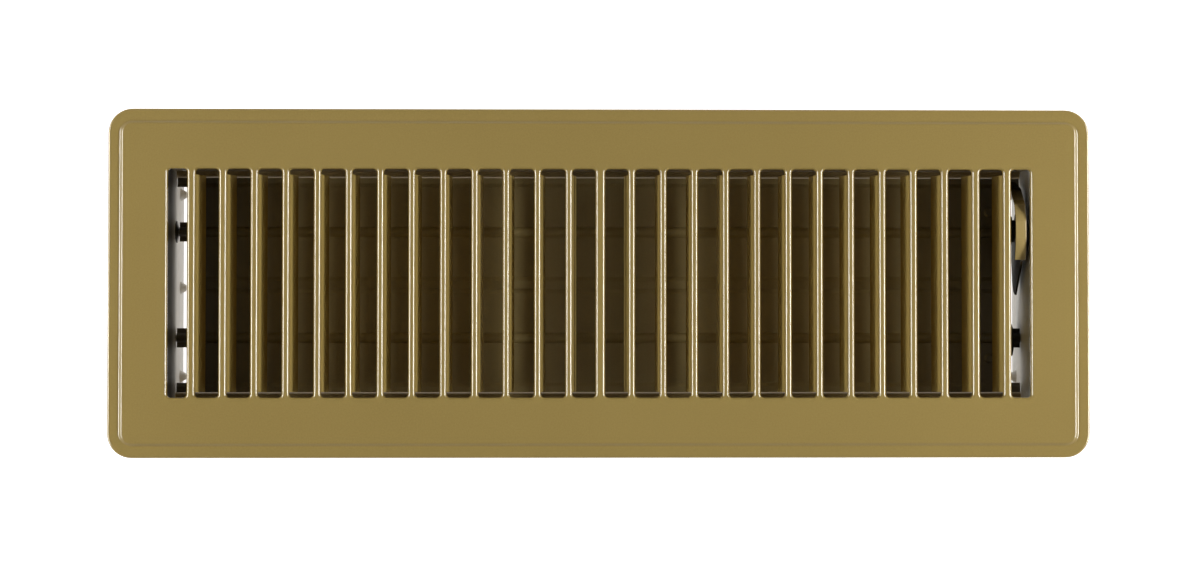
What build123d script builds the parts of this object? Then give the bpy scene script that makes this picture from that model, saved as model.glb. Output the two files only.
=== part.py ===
from build123d import *
import os
from math import cos, radians, sin, tan

os.makedirs("parts", exist_ok=True)

# Floor register for a 4 x 14 inch duct. Millimetres, +Z up.
# Origin: middle of the face, in the floor plane under the rim.

# ---- face plate ----------------------------------------------------------
SHEET = 0.8  # face and box sheet thickness
FACE_L = 397.6  # face length, along X
FACE_W = 141.3  # face width, along Y
CORNER_R = 10.0  # outer corner radius
RIM_Z = 3.6  # top of the flat outer band
FACE_Z = 4.6  # top of the raised panel
EDGE_R = 1.0  # bend between band and skirt
STEP_IN = 4.95  # outer edge to the foot of the step
STEP_R = 1.0  # bends of the step

PITCH = 12.7  # rib pitch
RIBS = 27
RIB_W = 2.75
RIB_W_END = 3.3  # the ribs get wider towards the ends
RIB_W_MID = 3.8  # the middle rib is wider
SLOT_HALF = 46.2  # slot half length, along Y
SLOT_R = 1.5  # slot corner radius in plan
SLOT_END_X = 174.65  # outer edge of the two end slots
LIP_Z = 2.6  # lower edge of the drawn lip round each slot
LIP_R = 1.15  # rounding of rib edges

FIN_Z = -6.3  # lower edge of the fins
FIN_TOP_Z = 3.0
FIN_HALF = 44.0
FIN_TILT_MID = 8.5  # degrees, at the middle ribs
FIN_TILT_END = 17.5  # degrees, at the end ribs

# ---- damper box ----------------------------------------------------------
RAIL_Y = 47.2  # inner face of the side rails
WALL_X = 175.4  # inner face of the end brackets
BOX_Z = -48.5  # lower edge of the box
FLANGE_Z = FACE_Z - SHEET  # flanges lie against the panel's underside
RAIL_FLANGE = 11.0
BRACKET_FLANGE = 10.5
BEND_IN = 0.5  # inside bend radius of the box sheets
EAR_LEN = 12.5
EAR_TOP_Z = 0.0
EAR_LOW_Z = -47.0
RIVET_R = 1.6
RIVET_HEAD_R = 3.0
RIVET_HEAD_T = 0.8
RIVET_X = 168.5
RIVET_ZS = (-9.0, -40.0)
RAIL_BEAD_R = 3.0  # half-round bead along each rail, under the blade's edge
RAIL_BEAD_REAR_Z = -29.64
RAIL_BEAD_FRONT_Z = -28.04

# ---- blades --------------------------------------------------------------
PIVOT_Y = 21.95  # rods at plus and minus this
PIVOT_Z = -26.9
BLADE_T = 0.7
BLADE_X = 169.2  # half length of a blade
BLADE_IN = 23.3  # rod to the edge at the middle of the box
BLADE_OUT = 22.55  # rod to the edge at the rail
JOGGLE_AT = 18.6  # where an edge starts to step
JOGGLE_RUN = 1.6
JOGGLE = 0.8
BEAD_IN = 1.55
BEAD_OUT = BEAD_IN + BLADE_T
TAB_W = 8.0  # tabs round the rod
TAB_LEFT_X = -174.0  # rear blade, clear of the washer
TAB_LEFT_FRONT_X = -175.0
SADDLE_X = 175.05  # saddles of lever and crank, just clear of the end bracket
CORNER_X = 175.05  # how far the outer strip runs past the blade's ends
ROD_R = 1.5
ROD_X = 177.2
ROD_HOLE_R = 1.56

# ---- dimples in the end brackets -----------------------------------------
DIMPLE_R = 2.75  # at the wall
DIMPLE_TOP_R = 1.2
DIMPLE_H = 2.4  # inwards
DIMPLE_Z = -39.5
DIMPLE_YS = (38.0, -38.0)
DIMPLE_MID_Y = -1.0  # a third one, at the left end only

# ---- lever, crank and link -----------------------------------------------
LEVER_X = 172.5  # inner face of the lever's plate
CRANK_X = 171.1  # inner face of the crank's plate
LEVER_T = 0.8
HEAD_X = 168.9  # inner edge of the finger flange
HEAD = (  # the flange's upper side in Y and Z from the rod, rear end first
    (21.0, 3.2),
    (17.6, 16.6),
    (10.6, 26.8),
    (3.6, 30.1),
    (-3.5, 30.1),
    (-12.2, 27.7),
)
WEB = (  # the plate's front part
    (-12.6, 20.0),
    (-26.0, 4.0),
    (-24.6, 0.0),
    (-20.0, -3.2),
    (-12.0, -5.2),
)
NECK_IN = 1.9  # necks of the feet, from the rod
NECK_OUT = 4.6
FOOT_END_X = 168.9  # where a foot narrows to its neck
FOOT_X = 160.5
FOOT_RIVET_XS = (162.2, 166.9)
CRANK_R = 7.0  # rod to link pin
CRANK_DEG = 30.0  # link pins stand this far off upright when closed
LINK_X = 170.05
LINK_T = 0.7
LINK_W = 4.0
LINK_EYE_R = 3.1
PIN_R = 1.5
PIN_HOLE_R = 1.56
PIN_HEAD_R = 2.4
SLOT_PIN_W = 3.6  # width of the link's slot at the front pin
SLOT_PIN_L = 5.6  # its length, upright

LINK_DROP = CRANK_R * (1 + cos(radians(CRANK_DEG)))  # rear pin to slot middle
PIN_DY = CRANK_R * sin(radians(CRANK_DEG))
PIN_DZ = CRANK_R * cos(radians(CRANK_DEG))
PIN_A = (PIVOT_Y + PIN_DY, PIVOT_Z + PIN_DZ)  # link pin on the lever, closed
PIN_B = (-PIVOT_Y + PIN_DY, PIVOT_Z - PIN_DZ)  # link pin on the crank, closed


def rib_x(i):
    return (i - (RIBS + 1) / 2) * PITCH


def rib_w(i):
    far = abs(rib_x(i)) / rib_x(RIBS)
    grown = RIB_W + (RIB_W_END - RIB_W) * max(0.0, far - 0.6) / 0.4
    return RIB_W_MID if i == (RIBS + 1) // 2 else grown


def fin_tilt(i):
    far = abs(rib_x(i)) / rib_x(RIBS)
    return FIN_TILT_MID + (FIN_TILT_END - FIN_TILT_MID) * far


slots = []
for s in range(1, RIBS + 2):
    left = -SLOT_END_X if s == 1 else rib_x(s - 1) + rib_w(s - 1) / 2
    right = SLOT_END_X if s == RIBS + 1 else rib_x(s) - rib_w(s) / 2
    slots.append((left, right))


# ---- face plate ----------------------------------------------------------
with BuildPart() as face_plate:
    with BuildSketch():
        RectangleRounded(FACE_L, FACE_W, CORNER_R)
    extrude(amount=RIM_Z)
    with BuildSketch(Plane.XY.offset(RIM_Z)):
        RectangleRounded(
            FACE_L - 2 * STEP_IN, FACE_W - 2 * STEP_IN, CORNER_R - STEP_IN
        )
    extrude(amount=FACE_Z - RIM_Z, taper=45)
    levels = face_plate.faces().filter_by(Plane.XY).sort_by(Axis.Z)
    band, panel = levels[-2], levels[-1]
    fillet(band.inner_wires()[0].edges(), radius=STEP_R)
    levels = face_plate.faces().filter_by(Plane.XY).sort_by(Axis.Z)
    fillet(levels[-1].outer_wire().edges(), radius=STEP_R)
    levels = face_plate.faces().filter_by(Plane.XY).sort_by(Axis.Z)
    fillet(levels[-2].outer_wire().edges(), radius=EDGE_R)
    underside = face_plate.faces().filter_by(Plane.XY).sort_by(Axis.Z)[0]
    offset(amount=-SHEET, openings=underside)
    # slots
    with BuildSketch(Plane.XY.offset(FACE_Z)):
        for left, right in slots:
            with Locations(((left + right) / 2, 0)):
                RectangleRounded(right - left, 2 * SLOT_HALF, SLOT_R)
    extrude(amount=-2 * SHEET, mode=Mode.SUBTRACT)
    # lips drawn down round each slot
    with BuildSketch(Plane.XY.offset(LIP_Z)):
        for left, right in slots:
            with Locations(((left + right) / 2, 0)):
                RectangleRounded(
                    right - left + 2 * SHEET,
                    2 * (SLOT_HALF + SHEET),
                    SLOT_R + SHEET,
                )
        for left, right in slots:
            with Locations(((left + right) / 2, 0)):
                RectangleRounded(
                    right - left, 2 * SLOT_HALF, SLOT_R, mode=Mode.SUBTRACT
                )
    extrude(amount=FACE_Z - SHEET / 2 - LIP_Z)
    top = face_plate.faces().filter_by(Plane.XY).sort_by(Axis.Z)[-1]
    fillet([e for w in top.inner_wires() for e in w.edges()], radius=LIP_R)
    # fins, bent down from the ribs and leaning to the middle
    with BuildSketch(Plane.XZ):
        for i in range(1, RIBS + 1):
            if rib_x(i) == 0:
                continue
            side = 1 if rib_x(i) < 0 else -1
            edge = rib_x(i) + side * rib_w(i) / 2
            lean = tan(radians(fin_tilt(i))) * (FIN_TOP_Z - FIN_Z)
            thick = SHEET / cos(radians(fin_tilt(i)))
            with BuildLine():
                Polyline(
                    (edge - side * thick, FIN_TOP_Z),
                    (edge, FIN_TOP_Z),
                    (edge + side * lean, FIN_Z),
                    (edge + side * (lean - thick), FIN_Z),
                    close=True,
                )
            make_face()
    extrude(amount=FIN_HALF, both=True)
face_plate.part.label = "face_plate"
export_step(face_plate.part, "parts/face_plate.step")


# ---- side rails ----------------------------------------------------------
def rail_section(side, bead_z):
    """Upright wall with a flange turned outwards at the top and a bead pressed inwards."""
    Polygon(
        (side * RAIL_Y, BOX_Z),
        (side * RAIL_Y, FLANGE_Z),
        (side * (RAIL_Y + RAIL_FLANGE), FLANGE_Z),
        (side * (RAIL_Y + RAIL_FLANGE), FLANGE_Z - SHEET),
        (side * (RAIL_Y + SHEET), FLANGE_Z - SHEET),
        (side * (RAIL_Y + SHEET), BOX_Z),
        align=None,
    )
    with Locations((side * RAIL_Y, bead_z)):
        Circle(RAIL_BEAD_R)
    with Locations((side * (RAIL_Y + SHEET + RAIL_BEAD_R), bead_z)):
        Rectangle(2 * RAIL_BEAD_R, 3 * RAIL_BEAD_R, mode=Mode.SUBTRACT)
    with Locations((side * RAIL_Y, bead_z)):
        Circle(RAIL_BEAD_R - SHEET, mode=Mode.SUBTRACT)


with BuildPart() as side_rail_rear:
    with BuildSketch(Plane.YZ.offset(-WALL_X)):
        rail_section(1, RAIL_BEAD_REAR_Z)
    extrude(amount=2 * WALL_X)
    bend = side_rail_rear.edges().filter_by(Axis.X)
    fillet(
        bend.filter_by_position(Axis.Z, FLANGE_Z - 0.01, FLANGE_Z + 0.01).sort_by(
            Axis.Y
        )[0],
        radius=BEND_IN + SHEET,
    )
    bend = side_rail_rear.edges().filter_by(Axis.X)
    fillet(
        bend.filter_by_position(
            Axis.Y, RAIL_Y + SHEET - 0.01, RAIL_Y + SHEET + 0.01
        ).sort_by(Axis.Z)[-1],
        radius=BEND_IN,
    )
    with BuildSketch(Plane.XZ.offset(-RAIL_Y - 2 * SHEET)):
        for x in (-RIVET_X, RIVET_X):
            for z in RIVET_ZS:
                with Locations((x, z)):
                    Circle(RIVET_R)
    extrude(amount=3 * SHEET, mode=Mode.SUBTRACT)
side_rail_rear.part.label = "side_rail_rear"
export_step(side_rail_rear.part, "parts/side_rail_rear.step")

with BuildPart() as side_rail_front:
    with BuildSketch(Plane.YZ.offset(-WALL_X)):
        rail_section(-1, RAIL_BEAD_FRONT_Z)
    extrude(amount=2 * WALL_X)
    bend = side_rail_front.edges().filter_by(Axis.X)
    fillet(
        bend.filter_by_position(Axis.Z, FLANGE_Z - 0.01, FLANGE_Z + 0.01).sort_by(
            Axis.Y
        )[-1],
        radius=BEND_IN + SHEET,
    )
    bend = side_rail_front.edges().filter_by(Axis.X)
    fillet(
        bend.filter_by_position(
            Axis.Y, -RAIL_Y - SHEET - 0.01, -RAIL_Y - SHEET + 0.01
        ).sort_by(Axis.Z)[-1],
        radius=BEND_IN,
    )
    with BuildSketch(Plane.XZ.offset(RAIL_Y + 2 * SHEET)):
        for x in (-RIVET_X, RIVET_X):
            for z in RIVET_ZS:
                with Locations((x, z)):
                    Circle(RIVET_R)
    extrude(amount=-3 * SHEET, mode=Mode.SUBTRACT)
side_rail_front.part.label = "side_rail_front"
export_step(side_rail_front.part, "parts/side_rail_front.step")


# ---- end brackets --------------------------------------------------------
def bracket_wall(side):
    """Section of the end wall with its top flange, in X and Z."""
    Polygon(
        (side * WALL_X, BOX_Z),
        (side * WALL_X, FLANGE_Z),
        (side * (WALL_X + BRACKET_FLANGE), FLANGE_Z),
        (side * (WALL_X + BRACKET_FLANGE), FLANGE_Z - SHEET),
        (side * (WALL_X + SHEET), FLANGE_Z - SHEET),
        (side * (WALL_X + SHEET), BOX_Z),
        align=None,
    )


def bracket_plan(side):
    """Plan of the end wall and its two ears, which lie outside the rails."""
    out_y = RAIL_Y + 2 * SHEET
    Polygon(
        (side * (WALL_X - EAR_LEN), out_y),
        (side * (WALL_X + SHEET), out_y),
        (side * (WALL_X + SHEET), -out_y),
        (side * (WALL_X - EAR_LEN), -out_y),
        (side * (WALL_X - EAR_LEN), -out_y + SHEET),
        (side * WALL_X, -out_y + SHEET),
        (side * WALL_X, out_y - SHEET),
        (side * (WALL_X - EAR_LEN), out_y - SHEET),
        align=None,
    )


with BuildPart() as end_bracket_left:
    with BuildSketch(Plane.XY.offset(EAR_LOW_Z)):
        bracket_plan(-1)
    extrude(amount=EAR_TOP_Z - EAR_LOW_Z)
    fillet(
        end_bracket_left.edges().filter_by(Axis.Z).group_by(Axis.X)[0],
        radius=BEND_IN + SHEET,
    )
    with BuildSketch(Plane.XZ.offset(-RAIL_Y + 0.6)):
        bracket_wall(-1)
    extrude(amount=2 * (RAIL_Y - 0.6))
    bend = end_bracket_left.edges().filter_by(Axis.Y)
    fillet(
        bend.filter_by_position(Axis.Z, FLANGE_Z - 0.01, FLANGE_Z + 0.01).sort_by(
            Axis.X
        )[-1],
        radius=BEND_IN + SHEET,
    )
    bend = end_bracket_left.edges().filter_by(Axis.Y)
    fillet(
        bend.filter_by_position(
            Axis.Z, FLANGE_Z - SHEET - 0.01, FLANGE_Z - SHEET + 0.01
        ).sort_by(Axis.X)[-1],
        radius=BEND_IN,
    )
    # dimples, pressed inwards
    with Locations(
        *[Location((-WALL_X, y, DIMPLE_Z), (0, 90, 0)) for y in (*DIMPLE_YS, DIMPLE_MID_Y)]
    ):
        Cone(
            DIMPLE_R,
            DIMPLE_TOP_R,
            DIMPLE_H,
            align=(Align.CENTER, Align.CENTER, Align.MIN),
        )
    with Locations(
        *[
            Location((-WALL_X - SHEET, y, DIMPLE_Z), (0, 90, 0))
            for y in (*DIMPLE_YS, DIMPLE_MID_Y)
        ]
    ):
        Cone(
            DIMPLE_R - 0.3,
            DIMPLE_TOP_R - 0.5,
            DIMPLE_H,
            align=(Align.CENTER, Align.CENTER, Align.MIN),
            mode=Mode.SUBTRACT,
        )
    # pivot holes
    with BuildSketch(Plane.YZ.offset(-WALL_X - 2 * SHEET)):
        with Locations((PIVOT_Y, PIVOT_Z), (-PIVOT_Y, PIVOT_Z)):
            Circle(ROD_HOLE_R)
    extrude(amount=3 * SHEET, mode=Mode.SUBTRACT)
    # rivet holes in the ears
    with BuildSketch(Plane.XZ):
        with Locations(*[(-RIVET_X, z) for z in RIVET_ZS]):
            Circle(RIVET_R)
    extrude(amount=RAIL_Y + 4 * SHEET, both=True, mode=Mode.SUBTRACT)
end_bracket_left.part.label = "end_bracket_left"
export_step(end_bracket_left.part, "parts/end_bracket_left.step")

with BuildPart() as end_bracket_right:
    with BuildSketch(Plane.XY.offset(EAR_LOW_Z)):
        bracket_plan(1)
    extrude(amount=EAR_TOP_Z - EAR_LOW_Z)
    fillet(
        end_bracket_right.edges().filter_by(Axis.Z).group_by(Axis.X)[-1],
        radius=BEND_IN + SHEET,
    )
    with BuildSketch(Plane.XZ.offset(-RAIL_Y + 0.6)):
        bracket_wall(1)
    extrude(amount=2 * (RAIL_Y - 0.6))
    bend = end_bracket_right.edges().filter_by(Axis.Y)
    fillet(
        bend.filter_by_position(Axis.Z, FLANGE_Z - 0.01, FLANGE_Z + 0.01).sort_by(
            Axis.X
        )[0],
        radius=BEND_IN + SHEET,
    )
    bend = end_bracket_right.edges().filter_by(Axis.Y)
    fillet(
        bend.filter_by_position(
            Axis.Z, FLANGE_Z - SHEET - 0.01, FLANGE_Z - SHEET + 0.01
        ).sort_by(Axis.X)[0],
        radius=BEND_IN,
    )
    with Locations(
        *[Location((WALL_X, y, DIMPLE_Z), (0, -90, 0)) for y in DIMPLE_YS]
    ):
        Cone(
            DIMPLE_R,
            DIMPLE_TOP_R,
            DIMPLE_H,
            align=(Align.CENTER, Align.CENTER, Align.MIN),
        )
    with Locations(
        *[
            Location((WALL_X + SHEET, y, DIMPLE_Z), (0, -90, 0))
            for y in DIMPLE_YS
        ]
    ):
        Cone(
            DIMPLE_R - 0.3,
            DIMPLE_TOP_R - 0.5,
            DIMPLE_H,
            align=(Align.CENTER, Align.CENTER, Align.MIN),
            mode=Mode.SUBTRACT,
        )
    with BuildSketch(Plane.YZ.offset(WALL_X - SHEET)):
        with Locations((PIVOT_Y, PIVOT_Z), (-PIVOT_Y, PIVOT_Z)):
            Circle(ROD_HOLE_R)
    extrude(amount=3 * SHEET, mode=Mode.SUBTRACT)
    with BuildSketch(Plane.XZ):
        with Locations(*[(RIVET_X, z) for z in RIVET_ZS]):
            Circle(RIVET_R)
    extrude(amount=RAIL_Y + 4 * SHEET, both=True, mode=Mode.SUBTRACT)
end_bracket_right.part.label = "end_bracket_right"
export_step(end_bracket_right.part, "parts/end_bracket_right.step")

# ---- rivets through ears and rails ---------------------------------------
with BuildPart() as corner_rivets:
    for side in (1, -1):
        for x in (-RIVET_X, RIVET_X):
            for z in RIVET_ZS:
                with Locations(Location((x, side * RAIL_Y, z), (-90 * side, 0, 0))):
                    Cylinder(
                        RIVET_R,
                        2 * SHEET,
                        align=(Align.CENTER, Align.CENTER, Align.MIN),
                    )
                    Cylinder(
                        1.4 * RIVET_R,
                        RIVET_HEAD_T,
                        align=(Align.CENTER, Align.CENTER, Align.MAX),
                    )
                    with Locations((0, 0, 2 * SHEET)):
                        Cone(
                            RIVET_HEAD_R,
                            0.6 * RIVET_HEAD_R,
                            RIVET_HEAD_T,
                            align=(Align.CENTER, Align.CENTER, Align.MIN),
                        )
corner_rivets.part.label = "corner_rivets"
export_step(corner_rivets.part, "parts/corner_rivets.step")


# ---- damper blades -------------------------------------------------------
def bead(y):
    """Half-round bead over the rod, open below."""
    with Locations((y, PIVOT_Z)):
        Circle(BEAD_OUT)
        Rectangle(
            4 * BEAD_OUT,
            4 * BEAD_OUT,
            align=(Align.CENTER, Align.MAX),
            mode=Mode.SUBTRACT,
        )


def blade_section(y, front, rear):
    """Flat web, front edge stepped up and rear edge stepped down, so that the rear blade lies over the front one where they meet."""
    bead(y)
    with Locations((y, PIVOT_Z)):
        Polygon(
            (-front, JOGGLE + BLADE_T),
            (-front, JOGGLE),
            (-JOGGLE_AT - JOGGLE_RUN, JOGGLE),
            (-JOGGLE_AT, 0),
            (JOGGLE_AT, 0),
            (JOGGLE_AT + JOGGLE_RUN, -JOGGLE),
            (rear, -JOGGLE),
            (rear, BLADE_T - JOGGLE),
            (JOGGLE_AT + JOGGLE_RUN, BLADE_T - JOGGLE),
            (JOGGLE_AT, BLADE_T),
            (-JOGGLE_AT, BLADE_T),
            (-JOGGLE_AT - JOGGLE_RUN, JOGGLE + BLADE_T),
            align=None,
        )
        Circle(BEAD_IN, mode=Mode.SUBTRACT)


def tab_section(y):
    """Narrow tab round the rod, at a blade's ends and on lever and crank."""
    bead(y)
    with Locations((y, PIVOT_Z)):
        Rectangle(TAB_W, BLADE_T, align=(Align.CENTER, Align.MIN))
        Circle(BEAD_IN, mode=Mode.SUBTRACT)


def corner_section(y, side):
    """The strip at a blade's outer edge, which runs on past its ends."""
    with Locations((y, PIVOT_Z)):
        Polygon(
            (side * JOGGLE_AT, 0),
            (side * (JOGGLE_AT + JOGGLE_RUN), -side * JOGGLE),
            (side * BLADE_OUT, -side * JOGGLE),
            (side * BLADE_OUT, BLADE_T - side * JOGGLE),
            (side * (JOGGLE_AT + JOGGLE_RUN), BLADE_T - side * JOGGLE),
            (side * JOGGLE_AT, BLADE_T),
            align=None,
        )


with BuildPart() as damper_blade_rear:
    with BuildSketch(Plane.YZ.offset(-BLADE_X)):
        blade_section(PIVOT_Y, BLADE_IN, BLADE_OUT)
    extrude(amount=2 * BLADE_X)
    with BuildSketch(Plane.YZ.offset(TAB_LEFT_X)):
        tab_section(PIVOT_Y)
    extrude(amount=-TAB_LEFT_X - BLADE_X)
    with BuildSketch(Plane.YZ.offset(BLADE_X)):
        tab_section(PIVOT_Y)
    extrude(amount=LEVER_X - BLADE_X)
    with BuildSketch(Plane.YZ.offset(-CORNER_X)):
        corner_section(PIVOT_Y, 1)
    extrude(amount=CORNER_X - BLADE_X)
    with BuildSketch(Plane.YZ.offset(BLADE_X)):
        corner_section(PIVOT_Y, 1)
    extrude(amount=CORNER_X - BLADE_X)
    with BuildSketch(Plane.XY.offset(PIVOT_Z)):
        with Locations([(x, PIVOT_Y + 8.5) for x in FOOT_RIVET_XS]):
            Circle(1.2)
    extrude(amount=BLADE_T, mode=Mode.SUBTRACT)
damper_blade_rear.part.label = "damper_blade_rear"
export_step(damper_blade_rear.part, "parts/damper_blade_rear.step")

with BuildPart() as damper_blade_front:
    with BuildSketch(Plane.YZ.offset(-BLADE_X)):
        blade_section(-PIVOT_Y, BLADE_OUT, BLADE_IN)
    extrude(amount=2 * BLADE_X)
    with BuildSketch(Plane.YZ.offset(TAB_LEFT_FRONT_X)):
        tab_section(-PIVOT_Y)
    extrude(amount=-TAB_LEFT_FRONT_X - BLADE_X)
    with BuildSketch(Plane.YZ.offset(-CORNER_X)):
        corner_section(-PIVOT_Y, -1)
    extrude(amount=CORNER_X - BLADE_X)
    with BuildSketch(Plane.YZ.offset(BLADE_X)):
        corner_section(-PIVOT_Y, -1)
    extrude(amount=CORNER_X - BLADE_X)
    with BuildSketch(Plane.XY.offset(PIVOT_Z)):
        with Locations([(x, -PIVOT_Y - 8.5) for x in FOOT_RIVET_XS]):
            Circle(1.2)
    extrude(amount=BLADE_T, mode=Mode.SUBTRACT)
damper_blade_front.part.label = "damper_blade_front"
export_step(damper_blade_front.part, "parts/damper_blade_front.step")

# ---- pivot rods ----------------------------------------------------------
with BuildPart() as pivot_rod_rear:
    with BuildSketch(Plane.YZ.offset(-ROD_X)):
        with Locations((PIVOT_Y, PIVOT_Z)):
            Circle(ROD_R)
    extrude(amount=2 * ROD_X)
    chamfer(pivot_rod_rear.edges().filter_by(GeomType.CIRCLE), length=0.35)
pivot_rod_rear.part.label = "pivot_rod_rear"
export_step(pivot_rod_rear.part, "parts/pivot_rod_rear.step")

with BuildPart() as pivot_rod_front:
    with BuildSketch(Plane.YZ.offset(-ROD_X)):
        with Locations((-PIVOT_Y, PIVOT_Z)):
            Circle(ROD_R)
    extrude(amount=2 * ROD_X)
    chamfer(pivot_rod_front.edges().filter_by(GeomType.CIRCLE), length=0.35)
pivot_rod_front.part.label = "pivot_rod_front"
export_step(pivot_rod_front.part, "parts/pivot_rod_front.step")


# ---- operating lever -----------------------------------------------------
def inset(points, t):
    """The same line of flats, moved inwards by t."""
    moved = []
    for i, (y, z) in enumerate(points):
        normals = []
        for a, b in ((i - 1, i), (i, i + 1)):
            if a >= 0 and b < len(points):
                dy, dz = points[b][0] - points[a][0], points[b][1] - points[a][1]
                run = (dy * dy + dz * dz) ** 0.5
                normals.append((-dz / run, dy / run))
        n, m = normals[0], normals[-1]
        k = t / (1 + n[0] * m[0] + n[1] * m[1])
        moved.append((y + k * (n[0] + m[0]), z + k * (n[1] + m[1])))
    return moved


with BuildPart() as operating_lever:
    # upright plate
    with BuildSketch(Plane.YZ.offset(LEVER_X)):
        with Locations((PIVOT_Y, PIVOT_Z)):
            Polygon(
                *HEAD,
                *WEB,
                (2.0, -5.2),
                (NECK_OUT, -3.4),
                (NECK_OUT, 1.5),
                (7.2, 4.4),
                (8.2, 7.2),
                (15.0, 7.6),
                (20.2, 3.0),
                align=None,
            )
    extrude(amount=LEVER_T)
    # finger flange, five flats
    with BuildSketch(Plane.YZ.offset(HEAD_X)):
        with Locations((PIVOT_Y, PIVOT_Z)):
            Polygon(
                *HEAD,
                *reversed(inset(HEAD, LEVER_T)),
                align=None,
            )
    extrude(amount=LEVER_X + LEVER_T - HEAD_X)
    # foot under the rear blade
    with BuildSketch(Plane.XY.offset(PIVOT_Z)):
        with Locations(((FOOT_X + FOOT_END_X) / 2, PIVOT_Y + 8.5)):
            Rectangle(FOOT_END_X - FOOT_X, 8.0)
        with Locations((LEVER_X + LEVER_T, PIVOT_Y + NECK_IN)):
            Rectangle(
                LEVER_X + LEVER_T - FOOT_X - 4.0,
                NECK_OUT - NECK_IN,
                align=(Align.MAX, Align.MIN),
            )
    extrude(amount=-LEVER_T)
    fillet(
        operating_lever.edges()
        .filter_by(Axis.Z)
        .group_by(Axis.X)[0],
        radius=2.0,
    )
    outer = LEVER_X + LEVER_T
    fillet(
        [
            e
            for e in operating_lever.edges()
            if all(
                abs(v.X - outer) < 1e-3
                and any(
                    abs(v.Y - PIVOT_Y - y) + abs(v.Z - PIVOT_Z - z) < 1e-3
                    for y, z in HEAD
                )
                for v in e.vertices()
            )
        ],
        radius=0.6,
    )
    # saddle over the rod, up to the end bracket
    with BuildSketch(Plane.YZ.offset(LEVER_X + LEVER_T)):
        tab_section(PIVOT_Y)
    extrude(amount=SADDLE_X - LEVER_X - LEVER_T)
    with BuildSketch(Plane.YZ.offset(LEVER_X - 1)):
        with Locations((PIVOT_Y, PIVOT_Z)):
            Circle(ROD_R + 0.02)
        with Locations(PIN_A):
            Circle(PIN_R)
    extrude(amount=LEVER_T + 2, mode=Mode.SUBTRACT)
    with BuildSketch(Plane.XY.offset(PIVOT_Z)):
        with Locations([(x, PIVOT_Y + 8.5) for x in FOOT_RIVET_XS]):
            Circle(1.2)
    extrude(amount=-LEVER_T, mode=Mode.SUBTRACT)
operating_lever.part.label = "operating_lever"
export_step(operating_lever.part, "parts/operating_lever.step")

with BuildPart() as lever_rivets:
    with Locations([(x, PIVOT_Y + 8.5, PIVOT_Z) for x in FOOT_RIVET_XS]):
        Cylinder(1.2, BLADE_T, align=(Align.CENTER, Align.CENTER, Align.MIN))
        Cylinder(1.2, LEVER_T, align=(Align.CENTER, Align.CENTER, Align.MAX))
        with Locations((0, 0, BLADE_T)):
            Cone(2.1, 1.3, 0.6, align=(Align.CENTER, Align.CENTER, Align.MIN))
        with Locations((0, 0, -LEVER_T)):
            Cylinder(1.8, 0.6, align=(Align.CENTER, Align.CENTER, Align.MAX))
lever_rivets.part.label = "lever_rivets"
export_step(lever_rivets.part, "parts/lever_rivets.step")

# ---- crank on the front blade --------------------------------------------
with BuildPart() as crank_arm:
    with BuildSketch(Plane.YZ.offset(CRANK_X)):
        with Locations((-PIVOT_Y, PIVOT_Z)):
            Polygon(
                (-7.5, -LEVER_T),
                (-7.0, 2.2),
                (-4.5, 4.4),
                (0.0, 5.0),
                (4.0, 3.2),
                (7.2, -4.2),
                (6.6, -8.4),
                (3.4, -9.8),
                (0.2, -8.2),
                (-4.5, -3.2),
                (-4.5, -LEVER_T),
                align=None,
            )
    extrude(amount=LEVER_T)
    with BuildSketch(Plane.XY.offset(PIVOT_Z)):
        with Locations(((FOOT_X + FOOT_END_X) / 2, -PIVOT_Y - 8.5)):
            Rectangle(FOOT_END_X - FOOT_X, 8.0)
        with Locations((CRANK_X + LEVER_T, -PIVOT_Y - NECK_IN)):
            Rectangle(
                CRANK_X + LEVER_T - FOOT_X - 4.0,
                NECK_OUT - NECK_IN,
                align=(Align.MAX, Align.MAX),
            )
    extrude(amount=-LEVER_T)
    fillet(
        crank_arm.edges().filter_by(Axis.Z).group_by(Axis.X)[0],
        radius=2.0,
    )
    # saddle over the rod, up to the end bracket
    with BuildSketch(Plane.YZ.offset(CRANK_X + LEVER_T)):
        tab_section(-PIVOT_Y)
    extrude(amount=SADDLE_X - CRANK_X - LEVER_T)
    with BuildSketch(Plane.YZ.offset(CRANK_X - 1)):
        with Locations((-PIVOT_Y, PIVOT_Z)):
            Circle(ROD_R + 0.02)
        with Locations(PIN_B):
            Circle(PIN_R)
    extrude(amount=LEVER_T + 2, mode=Mode.SUBTRACT)
    with BuildSketch(Plane.XY.offset(PIVOT_Z)):
        with Locations([(x, -PIVOT_Y - 8.5) for x in FOOT_RIVET_XS]):
            Circle(1.2)
    extrude(amount=-LEVER_T, mode=Mode.SUBTRACT)
crank_arm.part.label = "crank_arm"
export_step(crank_arm.part, "parts/crank_arm.step")

with BuildPart() as crank_rivets:
    with Locations([(x, -PIVOT_Y - 8.5, PIVOT_Z) for x in FOOT_RIVET_XS]):
        Cylinder(1.2, BLADE_T, align=(Align.CENTER, Align.CENTER, Align.MIN))
        Cylinder(1.2, LEVER_T, align=(Align.CENTER, Align.CENTER, Align.MAX))
        with Locations((0, 0, BLADE_T)):
            Cone(2.1, 1.3, 0.6, align=(Align.CENTER, Align.CENTER, Align.MIN))
        with Locations((0, 0, -LEVER_T)):
            Cylinder(1.8, 0.6, align=(Align.CENTER, Align.CENTER, Align.MAX))
crank_rivets.part.label = "crank_rivets"
export_step(crank_rivets.part, "parts/crank_rivets.step")

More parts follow.
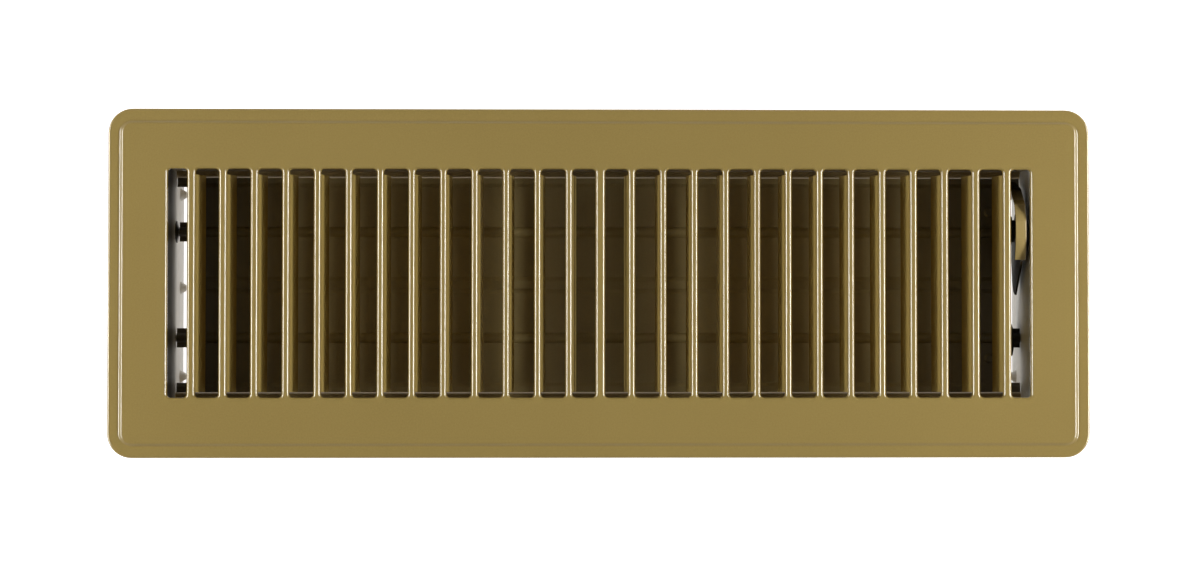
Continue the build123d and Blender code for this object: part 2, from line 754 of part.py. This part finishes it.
# ---- coupling link -------------------------------------------------------
SLOT_C = (PIN_A[0] - 2 * PIVOT_Y, PIN_A[1] - LINK_DROP)  # slot middle, closed
LINK_L = ((SLOT_C[0] - PIN_A[0]) ** 2 + (SLOT_C[1] - PIN_A[1]) ** 2) ** 0.5
HALF_Y = -(SLOT_C[1] - PIN_A[1]) / LINK_L * LINK_W / 2
HALF_Z = (SLOT_C[0] - PIN_A[0]) / LINK_L * LINK_W / 2

with BuildPart() as coupling_link:
    with BuildSketch(Plane.YZ.offset(LINK_X)):
        with BuildLine():
            Polyline(
                (PIN_A[0] + HALF_Y, PIN_A[1] + HALF_Z),
                (SLOT_C[0] + HALF_Y, SLOT_C[1] + HALF_Z),
                (SLOT_C[0] - HALF_Y, SLOT_C[1] - HALF_Z),
                (PIN_A[0] - HALF_Y, PIN_A[1] - HALF_Z),
                close=True,
            )
        make_face()
        with Locations(PIN_A):
            Circle(LINK_EYE_R)
        with Locations(SLOT_C):
            RectangleRounded(SLOT_PIN_W + 2.8, SLOT_PIN_L + 2.8, 3.0)
        with Locations(PIN_A):
            Circle(PIN_HOLE_R, mode=Mode.SUBTRACT)
        with Locations(SLOT_C):
            RectangleRounded(
                SLOT_PIN_W, SLOT_PIN_L, SLOT_PIN_W / 2 - 0.01, mode=Mode.SUBTRACT
            )
    extrude(amount=LINK_T)
coupling_link.part.label = "coupling_link"
export_step(coupling_link.part, "parts/coupling_link.step")

# ---- link rivets ---------------------------------------------------------
with BuildPart() as link_rivet_rear:
    with BuildSketch(Plane.YZ.offset(LINK_X - 0.7)):
        with Locations(PIN_A):
            Circle(PIN_HEAD_R)
    extrude(amount=0.55)
    with BuildSketch(Plane.YZ.offset(LINK_X - 0.15)):
        with Locations(PIN_A):
            Circle(PIN_R)
    extrude(amount=LEVER_X + LEVER_T + 0.15 - LINK_X)
    with BuildSketch(Plane.YZ.offset(LEVER_X + LEVER_T)):
        with Locations(PIN_A):
            Circle(PIN_HEAD_R)
    extrude(amount=0.6)
    chamfer(link_rivet_rear.edges().group_by(Axis.X)[-1], length=0.3)
link_rivet_rear.part.label = "link_rivet_rear"
export_step(link_rivet_rear.part, "parts/link_rivet_rear.step")

with BuildPart() as link_rivet_front:
    with BuildSketch(Plane.YZ.offset(LINK_X - 0.7)):
        with Locations(PIN_B):
            Circle(PIN_HEAD_R)
    extrude(amount=0.55)
    with BuildSketch(Plane.YZ.offset(LINK_X - 0.15)):
        with Locations(PIN_B):
            Circle(PIN_R)
    extrude(amount=CRANK_X + LEVER_T + 0.15 - LINK_X)
    with BuildSketch(Plane.YZ.offset(CRANK_X + LEVER_T)):
        with Locations(PIN_B):
            Circle(PIN_HEAD_R)
    extrude(amount=0.6)
    chamfer(link_rivet_front.edges().group_by(Axis.X)[-1], length=0.3)
link_rivet_front.part.label = "link_rivet_front"
export_step(link_rivet_front.part, "parts/link_rivet_front.step")

with BuildPart() as friction_washer:
    with BuildSketch(Plane.XY.offset(PIVOT_Z)):
        with BuildLine():
            Polyline(
                (-WALL_X, PIVOT_Y + 4.5),
                (-WALL_X + 0.35, PIVOT_Y + 4.5),
                (-WALL_X + 1.05, PIVOT_Y + 1.8),
                (-WALL_X + 0.70, PIVOT_Y + 1.8),
                close=True,
            )
        make_face()
    revolve(axis=Axis((0, PIVOT_Y, PIVOT_Z), (1, 0, 0)))
friction_washer.part.label = "friction_washer"
export_step(friction_washer.part, "parts/friction_washer.step")
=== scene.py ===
import math
import bpy
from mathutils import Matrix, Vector


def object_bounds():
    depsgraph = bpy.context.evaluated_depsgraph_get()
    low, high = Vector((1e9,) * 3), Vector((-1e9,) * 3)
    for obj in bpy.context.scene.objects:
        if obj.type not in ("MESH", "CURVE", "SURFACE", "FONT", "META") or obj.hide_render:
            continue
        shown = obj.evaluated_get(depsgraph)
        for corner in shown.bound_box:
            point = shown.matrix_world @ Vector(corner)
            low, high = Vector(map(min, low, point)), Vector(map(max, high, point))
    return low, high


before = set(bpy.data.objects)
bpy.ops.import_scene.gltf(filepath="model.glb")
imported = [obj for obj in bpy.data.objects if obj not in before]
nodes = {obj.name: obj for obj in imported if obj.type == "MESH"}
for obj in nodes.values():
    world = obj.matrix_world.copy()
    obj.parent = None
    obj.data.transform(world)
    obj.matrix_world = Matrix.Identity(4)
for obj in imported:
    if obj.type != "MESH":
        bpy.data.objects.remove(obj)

cad_lo, cad_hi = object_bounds()
scene = bpy.context.scene

# ---------------------------------------------------------------- materials


class Tree:
    """A material's node tree, with short calls for the nodes used here."""

    def __init__(self, name):
        self.mat = bpy.data.materials.new(name)
        self.mat.use_nodes = True
        self.nt = self.mat.node_tree
        self.nt.nodes.clear()
        self.out = self.nt.nodes.new("ShaderNodeOutputMaterial")
        self.bsdf = self.nt.nodes.new("ShaderNodeBsdfPrincipled")
        self.link(self.bsdf.outputs[0], self.out.inputs[0])
        self.coord = self.nt.nodes.new("ShaderNodeTexCoord").outputs["Object"]

    def link(self, a, b):
        self.nt.links.new(a, b)

    def new(self, kind, **props):
        n = self.nt.nodes.new(kind)
        for k, v in props.items():
            setattr(n, k, v)
        return n

    def mapped(self, scale, rotation=(0, 0, 0)):
        m = self.new("ShaderNodeMapping")
        m.inputs["Scale"].default_value = scale
        m.inputs["Rotation"].default_value = rotation
        self.link(self.coord, m.inputs["Vector"])
        return m.outputs[0]

    def noise(self, scale, detail=2.0, rough=0.5, vector=None, distortion=0.0):
        n = self.new("ShaderNodeTexNoise")
        n.inputs["Scale"].default_value = scale
        n.inputs["Detail"].default_value = detail
        n.inputs["Roughness"].default_value = rough
        n.inputs["Distortion"].default_value = distortion
        self.link(vector if vector is not None else self.coord, n.inputs["Vector"])
        return n.outputs["Fac"]

    def voronoi(self, scale, feature="F1", vector=None, color=False):
        n = self.new("ShaderNodeTexVoronoi", feature=feature)
        n.inputs["Scale"].default_value = scale
        self.link(vector if vector is not None else self.coord, n.inputs["Vector"])
        return n.outputs["Color" if color else "Distance"]

    def ramp(self, fac, stops, interpolation="LINEAR"):
        r = self.new("ShaderNodeValToRGB")
        r.color_ramp.interpolation = interpolation
        e = r.color_ramp.elements
        while len(e) < len(stops):
            e.new(0.5)
        for el, (p, c) in zip(e, stops):
            el.position = p
            el.color = (*c, 1) if len(c) == 3 else c
        self.link(fac, r.inputs[0])
        return r.outputs[0]

    def span(self, fac, lo, hi, from_lo=0.0, from_hi=1.0):
        m = self.new("ShaderNodeMapRange")
        m.inputs["From Min"].default_value = from_lo
        m.inputs["From Max"].default_value = from_hi
        m.inputs["To Min"].default_value = lo
        m.inputs["To Max"].default_value = hi
        self.link(fac, m.inputs["Value"])
        return m.outputs[0]

    def mix(self, fac, a, b, blend="MIX"):
        m = self.new("ShaderNodeMix", data_type="RGBA", blend_type=blend)
        if hasattr(fac, "is_linked"):
            self.link(fac, m.inputs[0])
        else:
            m.inputs[0].default_value = fac
        for sock, v in ((m.inputs[6], a), (m.inputs[7], b)):
            if hasattr(v, "is_linked"):
                self.link(v, sock)
            else:
                sock.default_value = (*v, 1)
        return m.outputs[2]

    def math(self, op, a, b=0.0):
        m = self.new("ShaderNodeMath", operation=op)
        for sock, v in ((m.inputs[0], a), (m.inputs[1], b)):
            if hasattr(v, "is_linked"):
                self.link(v, sock)
            else:
                sock.default_value = v
        return m.outputs[0]

    def bump(self, height, strength, distance):
        b = self.new("ShaderNodeBump")
        b.inputs["Strength"].default_value = strength
        b.inputs["Distance"].default_value = distance
        self.link(height, b.inputs["Height"])
        self.link(b.outputs[0], self.bsdf.inputs["Normal"])


def enamel(name, dark, light, rough=(0.18, 0.24), grain=0.05, coat=0.6, lit_top_shaded_ends=False, dull_below=False):
    """Baked tan enamel: fine sprayed grain, a little unevenness from sheet to sheet."""
    t = Tree(name)
    fine = t.noise(1500, 2.0, 0.6)
    broad = t.noise(9, 3.0, 0.55)
    body = t.ramp(broad, [(0.30, dark), (0.72, light)])
    speck = t.span(fine, 0.95, 1.05, 0.25, 0.75)
    col = t.mix(1.0, body, speck, "MULTIPLY")
    if lit_top_shaded_ends:
        # painted shade: the colour darkens to 15 % from |x| 0.115 m to 0.163 m, towards the blades' ends, where
        # shade falls near the end walls
        sep = t.new("ShaderNodeSeparateXYZ")
        t.link(t.coord, sep.inputs[0])
        along = t.math("ABSOLUTE", sep.outputs["X"])
        col = t.mix(1.0, col, t.span(along, 1.0, 0.15, 0.115, 0.163), "MULTIPLY")
        # the painted shade and the lighter upper tan (painted light) go only on faces turned up; the lower side
        # keeps an even, darker tan
        facing = t.new("ShaderNodeSeparateXYZ")
        t.link(t.new("ShaderNodeNewGeometry").outputs["Normal"], facing.inputs[0])
        up = t.span(facing.outputs["Z"], 0.0, 1.0, 0.1, 0.35)
        under = t.mix(1.0, t.ramp(broad, [(0.30, (0.258, 0.182, 0.067)), (0.72, (0.288, 0.205, 0.077))]), speck, "MULTIPLY")
        col = t.mix(up, under, col)
    t.link(col, t.bsdf.inputs["Base Color"])
    t.link(t.span(t.noise(420, 2.0), rough[0], rough[1], 0.3, 0.7), t.bsdf.inputs["Roughness"])
    t.bump(fine, grain, 0.0002)
    t.bsdf.inputs["IOR"].default_value = 1.6
    t.bsdf.inputs["Specular IOR Level"].default_value = 0.95
    t.bsdf.inputs["Coat Weight"].default_value = coat
    t.bsdf.inputs["Coat Roughness"].default_value = 0.18
    if dull_below:
        height = t.new("ShaderNodeSeparateXYZ")
        t.link(t.coord, height.inputs[0])
        glossy = t.span(height.outputs["Z"], 0.0, 1.0, 0.0014, 0.0028)
        t.link(t.span(glossy, 0.15, 0.95), t.bsdf.inputs["Specular IOR Level"])
        t.link(t.span(glossy, 0.0, coat), t.bsdf.inputs["Coat Weight"])
    return t.mat


def lever_enamel(name, dark, light, painted_shade_col=(0.026, 0.023, 0.018)):
    """Tan enamel on the upper parts; lower down it turns near-black as painted shade, along a ragged boundary, and
    is rougher there.
    """
    t = Tree(name)
    sep = t.new("ShaderNodeSeparateXYZ")
    t.link(t.coord, sep.inputs[0])
    edge = t.math("MULTIPLY_ADD", t.noise(300, 3.0, 0.6), 0.004)
    edge.node.inputs[2].default_value = -0.002
    height = t.math("ADD", sep.outputs["Z"], edge)
    # painted shade: from z -1.5 mm down to -9.5 mm the enamel blends into the near-black colour
    enamel_vs_shade = t.span(height, 0.0, 1.0, -0.0095, -0.0015)
    fine = t.noise(1500, 2.0, 0.6)
    body = t.ramp(t.noise(9, 3.0, 0.55), [(0.30, dark), (0.72, light)])
    shade_ramp_col = t.ramp(t.noise(260, 3.0, 0.6), [(0.3, painted_shade_col), (0.7, tuple(1.5 * v for v in painted_shade_col))])
    speck = t.span(fine, 0.95, 1.05, 0.25, 0.75)
    t.link(t.mix(1.0, t.mix(enamel_vs_shade, shade_ramp_col, body), speck, "MULTIPLY"), t.bsdf.inputs["Base Color"])
    t.link(t.span(enamel_vs_shade, 0.60, 0.21), t.bsdf.inputs["Roughness"])
    t.link(t.span(enamel_vs_shade, 0.10, 0.95), t.bsdf.inputs["Specular IOR Level"])
    t.bump(fine, 0.05, 0.0002)
    return t.mat


def galvanised(name, painted_shade_top=False):
    """Dull galvanised sheet with a faint spangle and rolling marks; optionally the inner side gets painted shade
    towards its top.
    """
    t = Tree(name)
    spangle = t.voronoi(170, color=True)
    roll = t.noise(260, 3.0, 0.6, t.mapped((0.04, 0.04, 1.0)))
    col = t.mix(0.5, t.ramp(spangle, [(0.0, (0.61, 0.62, 0.63)), (1.0, (0.80, 0.81, 0.82))]), t.ramp(roll, [(0.3, (0.66, 0.67, 0.68)), (0.7, (0.78, 0.79, 0.79))]))
    if painted_shade_top:
        # painted shade: the inner face (+X) blends up to 86 % towards near-black from z -30 mm to -13 mm and above,
        # where the box's shade falls
        sep = t.new("ShaderNodeSeparateXYZ")
        t.link(t.coord, sep.inputs[0])
        facing = t.new("ShaderNodeSeparateXYZ")
        t.link(t.new("ShaderNodeNewGeometry").outputs["Normal"], facing.inputs[0])
        inner = t.span(facing.outputs["X"], 0.0, 1.0, 0.4, 0.7)
        above = t.span(sep.outputs["Z"], 0.0, 0.86, -0.030, -0.013)
        col = t.mix(t.math("MULTIPLY", inner, above), col, (0.010, 0.010, 0.012))
    t.link(col, t.bsdf.inputs["Base Color"])
    t.bsdf.inputs["Metallic"].default_value = 0.05
    t.bsdf.inputs["Specular IOR Level"].default_value = 0.12
    t.link(t.span(spangle, 0.56, 0.72), t.bsdf.inputs["Roughness"])
    t.bump(roll, 0.06, 0.0002)
    return t.mat


def bare_steel(name):
    """Drawn steel: fine lengthwise lines, a few duller patches."""
    t = Tree(name)
    lines = t.noise(900, 2.0, 0.6, t.mapped((0.03, 1.0, 1.0)))
    dull = t.noise(120, 3.0, 0.6)
    col = t.mix(0.5, t.ramp(lines, [(0.3, (0.42, 0.42, 0.43)), (0.7, (0.62, 0.62, 0.63))]), t.ramp(dull, [(0.35, (0.44, 0.43, 0.42)), (0.65, (0.60, 0.60, 0.60))]))
    t.link(col, t.bsdf.inputs["Base Color"])
    t.bsdf.inputs["Metallic"].default_value = 1.0
    t.link(t.span(dull, 0.28, 0.45, 0.3, 0.7), t.bsdf.inputs["Roughness"])
    t.bump(lines, 0.05, 0.0001)
    return t.mat


def blackened(name):
    """Oil-blackened steel: nearly black, with a mottled sheen."""
    t = Tree(name)
    mottle = t.noise(260, 3.0, 0.6)
    t.link(t.ramp(mottle, [(0.3, (0.016, 0.015, 0.014)), (0.7, (0.040, 0.037, 0.034))]), t.bsdf.inputs["Base Color"])
    t.bsdf.inputs["Metallic"].default_value = 0.3
    t.link(t.span(mottle, 0.36, 0.52, 0.3, 0.7), t.bsdf.inputs["Roughness"])
    t.bump(t.noise(1200, 2.0), 0.05, 0.0001)
    return t.mat


tan = enamel("tan_enamel", (0.338, 0.241, 0.073), (0.358, 0.257, 0.079), dull_below=True)
tan_box = enamel("tan_enamel_box", (0.258, 0.182, 0.067), (0.288, 0.205, 0.077), rough=(0.36, 0.46), grain=0.08, coat=0.0)
# blades: the upper tan is lighter than the face's and the underside's, as painted light; enamel() darkens it towards
# the ends as painted shade
tan_blade = enamel("tan_enamel_blades", (0.375, 0.290, 0.115), (0.400, 0.311, 0.125), rough=(0.36, 0.46), grain=0.08, coat=0.0, lit_top_shaded_ends=True)
# the lever's tan is a little lighter than the face's: painted light
tan_lever = lever_enamel("tan_enamel_lever", (0.360, 0.260, 0.094), (0.385, 0.279, 0.104))
zinc = galvanised("galvanised_sheet")
# the left wall's inner face carries painted shade towards its top
zinc_left = galvanised("galvanised_sheet_left", painted_shade_top=True)
steel = bare_steel("bare_steel")
black = blackened("dark_steel")

FINISH = {
    "face_plate": tan,
    "damper_blade_rear": tan_blade,
    "damper_blade_front": tan_blade,
    "operating_lever": tan_lever,
    "lever_rivets": tan_blade,
    "side_rail_rear": tan_box,
    "side_rail_front": tan_box,
    "end_bracket_left": zinc_left,
    "end_bracket_right": zinc,
    "crank_arm": black,
    "coupling_link": black,
    "corner_rivets": steel,
    "pivot_rod_rear": steel,
    "pivot_rod_front": steel,
    "crank_rivets": tan_blade,
    "link_rivet_rear": black,
    "link_rivet_front": black,
    "friction_washer": black,
}
for n, m in FINISH.items():
    o = nodes[n]
    o.data.materials.clear()
    o.data.materials.append(m)

# ------------------------------------------------------------------- stage

floor_z = cad_lo.z - 0.0004
bpy.ops.mesh.primitive_plane_add(size=8.0, location=(0, 0, floor_z))
floor = bpy.context.object
floor.name = "floor"
ft = Tree("pale_floor")
ft.bsdf.inputs["Base Color"].default_value = (0.92, 0.92, 0.92, 1)
ft.bsdf.inputs["Roughness"].default_value = 0.9
ft.bsdf.inputs["Emission Color"].default_value = (1, 1, 1, 1)
ft.bsdf.inputs["Emission Strength"].default_value = 0.85
floor.data.materials.append(ft.mat)

world = bpy.data.worlds.new("studio")
scene.world = world
world.use_nodes = True
bg = world.node_tree.nodes["Background"]
bg.inputs["Color"].default_value = (1, 1, 1, 1)
bg.inputs["Strength"].default_value = 0.02


def area(name, where, at, size, power, spread=180.0):
    d = bpy.data.lights.new(name, "AREA")
    d.shape = "RECTANGLE"
    d.size, d.size_y = size
    d.energy = power
    d.spread = math.radians(spread)
    o = bpy.data.objects.new(name, d)
    o.location = where
    o.rotation_mode = "QUATERNION"
    o.rotation_quaternion = (Vector(at) - Vector(where)).to_track_quat("-Z", "Y")
    scene.collection.objects.link(o)
    return o


area("soft_left", (-0.80, 0.0, 0.47), (0, 0, 0), (0.60, 0.18), 6.35)
area("soft_right", (0.80, 0.0, 0.47), (0, 0, 0), (0.60, 0.18), 7.95)
area("upper_left", (-0.45, 0.0, 0.55), (0.17, 0, 0), (0.30, 0.10), 0.026, 28.0)
area("upper_right", (0.45, 0.0, 0.55), (-0.17, 0, 0), (0.30, 0.10), 0.026, 28.0)

# ------------------------------------------------------------------ camera

cam_d = bpy.data.cameras.new("camera")
cam_d.sensor_fit = "HORIZONTAL"
cam_d.sensor_width = 36.0
cam_d.lens = 82.43
cam_d.shift_x = -0.03085
cam_d.shift_y = -0.0023
cam_d.clip_start = 0.05
cam_d.clip_end = 50
cam = bpy.data.objects.new("camera", cam_d)
scene.collection.objects.link(cam)
# straight down, a little to the front and the left of the middle
cam.location = (-0.010, -0.027, 1.1096)
cam.rotation_euler = (math.radians(1.4625), math.radians(-1.2208), math.radians(0.0053))
scene.camera = cam

scene.view_settings.view_transform = "Standard"
scene.view_settings.look = "None"
